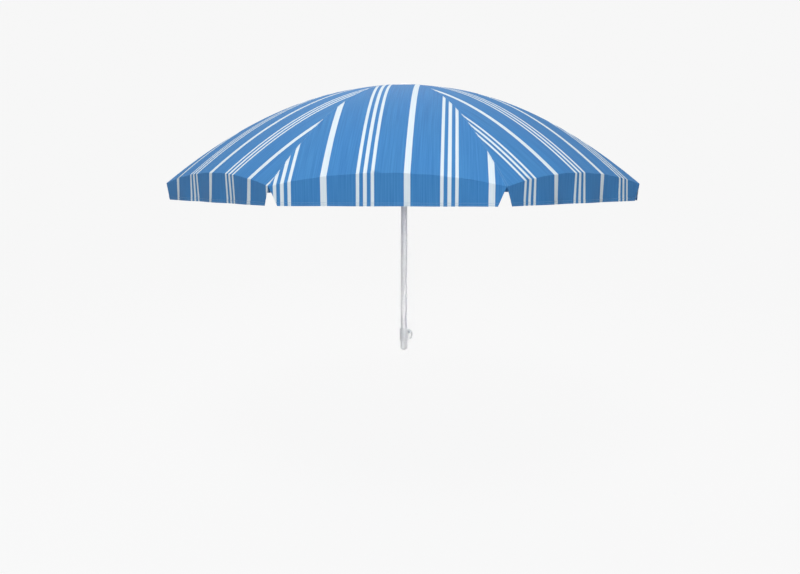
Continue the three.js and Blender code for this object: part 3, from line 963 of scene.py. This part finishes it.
def pole_foot():
    profile = [(0, 0), (6.6, 0), (8, 0.7), (12.1, 6.6), (12.5, 7.6)]
    for groove in (13, 19, 25):
        profile += [(12.5, groove - 0.9), (12.0, groove - 0.3),
                    (12.0, groove + 0.3), (12.5, groove + 0.9)]
    profile += [(12.5, 32.6), (11.9, 33.5), (8, 33.5), (8, 55.2), (7.2, 56), (0, 56)]
    mesh = turned("pole_foot_fine", in_metres(profile))
    add_piece("pole_foot_fine", smooth(mesh), "white_plastic", "ground_pole", ["pole_foot"])


def tilt_button():
    profile = [(0, 7.2), (3.9, 7.2), (3.9, 8.6), (3.0, 8.6), (3.0, 11.9), (2.6, 12.5), (1.6, 12.75),
               (0, 12.8)]
    mesh = moved(turned("tilt_button_fine", in_metres(profile), 40), BUTTON_MATRIX)
    add_piece("tilt_button_fine", smooth(mesh), "dark_steel", "tilt_button", ["tilt_button"])


def collar_radius(angle, z):
    """The clamp collar's outer radius, in mm: a plain rim, upright flutes, then shallow bands."""
    radius = 15.0
    fade = min(1.0, max(0.0, min(z - 60.0, 77.5 - z) / 1.2))
    flute = 14.9 + 0.5 * math.cos(24 * angle)
    radius += (flute - radius) * fade
    for band in (41.0, 47.0, 53.0):
        radius -= 0.4 * math.exp(-(((z - band) / 0.7) ** 2))
    edge = min(z - 34.0, 81.0 - z)
    if edge < 0.9:
        radius -= 0.9 - math.sqrt(max(0.0, 0.81 - (0.9 - edge) ** 2))
    return radius


def collar_barrel():
    """The collar's solid body, with its rows a little closer together near the ends."""
    points, faces = [], []
    sides, rows = 240, 64
    for i in range(rows + 1):
        eased = 0.5 - 0.5 * math.cos(math.pi * i / rows)
        z = 34 + 47 * (0.3 * eased + 0.7 * i / rows)
        for j in range(sides):
            angle = 2 * math.pi * j / sides
            radius = collar_radius(angle, z)
            points.append(Vector((radius * math.cos(angle), radius * math.sin(angle), z)) * MM)
    for i in range(rows):
        for j in range(sides):
            k = (j + 1) % sides
            faces.append([i * sides + j, i * sides + k,
                          (i + 1) * sides + k, (i + 1) * sides + j])
    faces.append(list(reversed(range(sides))))
    faces.append(list(range(rows * sides, (rows + 1) * sides)))
    return mesh_from("collar_barrel", points, faces)


def ear(low, high):
    """One of the two lobes that hold the clamp's pin."""
    outline = [(5, 54), (13.5, 54), (15, 55)]
    for i in range(13):
        angle = math.radians(-62 + 152 * i / 12)
        outline.append((17.8 + 6.4 * math.cos(angle), 68 + 6.4 * math.sin(angle)))
    outline += [(15.5, 76.5), (13.5, 78), (5, 78)]
    return slab("ear", in_metres(outline), low * MM, high * MM, 0.6 * MM)


def clamp_pin_hole(sides):
    place = Matrix.Translation(CLAMP_PIVOT) @ ALONG_Y
    return moved(rod(CLAMP_HOLE, -PAST, PAST, sides), place)


def clamp_collar():
    lever_slot = block(0, 40 * MM, -4.6 * MM, 4.6 * MM, 59.5 * MM, 76.5 * MM)
    mast_bore = rod(11.3 * MM, 40 * MM, 82 * MM, TUBE_SIDES)
    pole_bore = rod(9.8 * MM, 33 * MM, 41 * MM, TUBE_SIDES)
    mesh = combined("clamp_collar_fine", collar_barrel(), ("UNION", ear(-7.8, -4.6)),
                    ("UNION", ear(4.6, 7.8)), ("DIFFERENCE", mast_bore), ("DIFFERENCE", pole_bore),
                    ("DIFFERENCE", lever_slot), ("DIFFERENCE", clamp_pin_hole(TUBE_SIDES)))
    add_piece("clamp_collar_fine", smooth(mesh, 38), "white_plastic", "lower_mast", ["clamp_collar"])


def spline_points(knots, count):
    """Points along a smooth curve through the knots."""
    ends = [2 * knots[0] - knots[1]] + knots + [2 * knots[-1] - knots[-2]]
    made = []
    spans = len(knots) - 1
    for i in range(count + 1):
        place = i / count * spans
        span = min(int(place), spans - 1)
        t = place - span
        a, b, c, d = ends[span:span + 4]
        made.append(0.5 * (2 * b + (c - a) * t + (2 * a - 5 * b + 4 * c - d) * t ** 2
                           + (3 * b - a - 3 * c + d) * t ** 3))
    return made


def clamp_lever():
    """A hooked loop of rounded flat bar, with a round cam on the pin."""
    path = spline_points([Vector((x, 0, z)) * MM for x, z in LEVER_PATH], 60)
    across = Vector((0, 1, 0))
    stations = []
    for i, point in enumerate(path):
        along = (path[min(i + 1, len(path) - 1)] - path[max(i - 1, 0)]).normalized()
        left = (path[-1] - point).length
        nose = math.sqrt(max(0.12, 1 - max(0.0, 1 - left / (2.2 * MM)) ** 2))
        wide, deep = 4.2 * MM * (0.6 + 0.4 * nose), 2.7 * MM * nose
        stations.append((point, across, across.cross(along), wide, deep))
    bar = swept("lever_bar", stations, 28, 3.6)
    cam_profile = [(0, -4.2), (4.7, -4.2), (5.2, -3.7), (5.2, 3.7), (4.7, 4.2), (0, 4.2)]
    place = Matrix.Translation(CLAMP_PIVOT - Vector((MM, 0, 0))) @ ALONG_Y
    cam = moved(turned("cam", in_metres(cam_profile), 56), place)
    mesh = combined("clamp_lever_fine", bar, ("UNION", cam), ("DIFFERENCE", clamp_pin_hole(40)))
    add_piece("clamp_lever_fine", smooth(mesh, 38), "white_plastic", "clamp_lever", ["clamp_lever"])


# ---- the studio ----
def backdrop():
    """A pale floor that curves up into a wall all round."""
    profile = [(1.0 + 0.5 * i, 0.0) for i in range(9)]
    for i in range(1, 13):
        angle = i / 12 * math.pi / 2
        profile.append((FLOOR_RADIUS + WALL_BEND * math.sin(angle), WALL_BEND * (1 - math.cos(angle))))
    profile.append((FLOOR_RADIUS + WALL_BEND, WALL_TOP))
    sides = 96
    points = [Vector((0, 0, FLOOR_Z))]
    for radius, height in profile:
        points += circle(radius, FLOOR_Z + height, sides)
    faces = [[0, 1 + i, 1 + (i + 1) % sides] for i in range(sides)]
    for row in range(len(profile) - 1):
        low, high = 1 + row * sides, 1 + (row + 1) * sides
        for i in range(sides):
            j = (i + 1) % sides
            faces.append([low + i, high + i, high + j, low + j])
    mesh = smooth(mesh_from("backdrop", points, faces), 80)
    floor = bpy.data.objects.new("backdrop", mesh)
    bpy.context.scene.collection.objects.link(floor)
    shader = Shader("backdrop")
    place = shader.node("ShaderNodeTexCoord").outputs["Object"]
    shade = shader.mix(shader.spread(shader.noise(place, 1.3), 0.0, 1.0), *BACKDROP)
    shader.connect(shade, shader.principled.inputs["Base Color"])
    shader.principled.inputs["Roughness"].default_value = 0.9
    shader.principled.inputs["Specular IOR Level"].default_value = 0.1
    glow = shader.node("ShaderNodeEmission")
    glow.inputs["Strength"].default_value = 0.965
    seen = shader.node("ShaderNodeLightPath").outputs["Is Camera Ray"]
    shader.blend(shader.math("MULTIPLY", seen, 0.95), glow.outputs["Emission"])
    mesh.materials.append(shader.material)


def area_light(name, place, target, size, power, spread=180):
    lamp = bpy.data.lights.new(name, "AREA")
    lamp.shape = "DISK"
    lamp.size = size
    lamp.energy = power
    lamp.spread = math.radians(spread)
    holder = bpy.data.objects.new(name, lamp)
    bpy.context.scene.collection.objects.link(holder)
    holder.location = place
    holder.rotation_euler = (Vector(target) - Vector(place)).to_track_quat("-Z", "Y").to_euler()
    holder.visible_camera = False


def studio():
    world = bpy.data.worlds.new("studio")
    bpy.context.scene.world = world
    world.use_nodes = True
    background = world.node_tree.nodes["Background"]
    background.inputs["Color"].default_value = WHITE
    background.inputs["Strength"].default_value = 0.5
    bpy.context.scene.view_settings.view_transform = "Standard"
    middle = (0, 0, 0.6)
    area_light("key", (-0.4, -3.2, 4.4), middle, 1.8, 175)
    area_light("low", (0.6, -3.3, 0.0), (0, 0, 0.3), 1.2, 13)
    area_light("mast", (0.9, -3.3, 0.0), (0, 0, 0.2), 0.5, 0.38, 14)
    area_light("back", (-0.4, 3.6, 3.6), middle, 2.6, 70)
    backdrop()


def camera():
    lens = bpy.data.cameras.new("camera")
    lens.sensor_width = 36.0
    lens.lens = CAMERA_LENS
    lens.clip_start, lens.clip_end = 0.05, 60
    holder = bpy.data.objects.new("camera", lens)
    bpy.context.scene.collection.objects.link(holder)
    holder.location = CAMERA_PLACE
    holder.rotation_euler = (math.radians(90 - CAMERA_PITCH), 0, math.radians(CAMERA_TURN))
    bpy.context.scene.camera = holder


# ---- assembly ----
camera()
studio()

for k in range(RIBS):
    inner_cloth(k)
    outer_cloth(k)
    rib_wire(k)
    rib_tip(k)
    elbow_bracket(k)
    strut(k)

tubes()
crown_cap()
pole_foot()
tilt_button()
clamp_collar()
clamp_lever()
wire_ring("hub_wire", RIB_PIVOT, rib_height(RIB_PIVOT), "upper_mast")
wire_ring("runner_wire", RUNNER_PIVOT, RUNNER_PIVOT_Z, "runner")

headed_pin("clamp_pin_fine", CLAMP_PIVOT, 2.2 * MM, 4.4 * MM, 1.3 * MM, 8.1 * MM,
           "steel", "lower_mast", "clamp_pin")
headed_pin("tilt_pin_fine", TILT_PIVOT, 2.0 * MM, 3.4 * MM, 1.2 * MM, 5.8 * MM,
           "dark_steel", "lower_mast", "tilt_pivot_pin")
for half, height in (("lower", LOWER_RIVET_Z), ("upper", UPPER_RIVET_Z)):
    headed_pin(f"{half}_rivet_fine", UP * height, RIVET_RADIUS, 3 * MM, 1.1 * MM, 11.3 * MM,
               "dark_steel", f"{half}_mast", f"tilt_{half}_rivet")

for node, slot, width in (
    ("clamp_pad", "white_plastic", 0.2), ("tilt_lower_bracket", "steel", 0.4),
    ("tilt_upper_bracket", "steel", 0.4), ("runner", "white_plastic", 0.6),
    ("runner_ring", "white_plastic", 0.8), ("runner_catch", "steel", 0.3),
    ("crown_hub", "white_plastic", 0.5),
):
    refined(node, slot, width * MM)
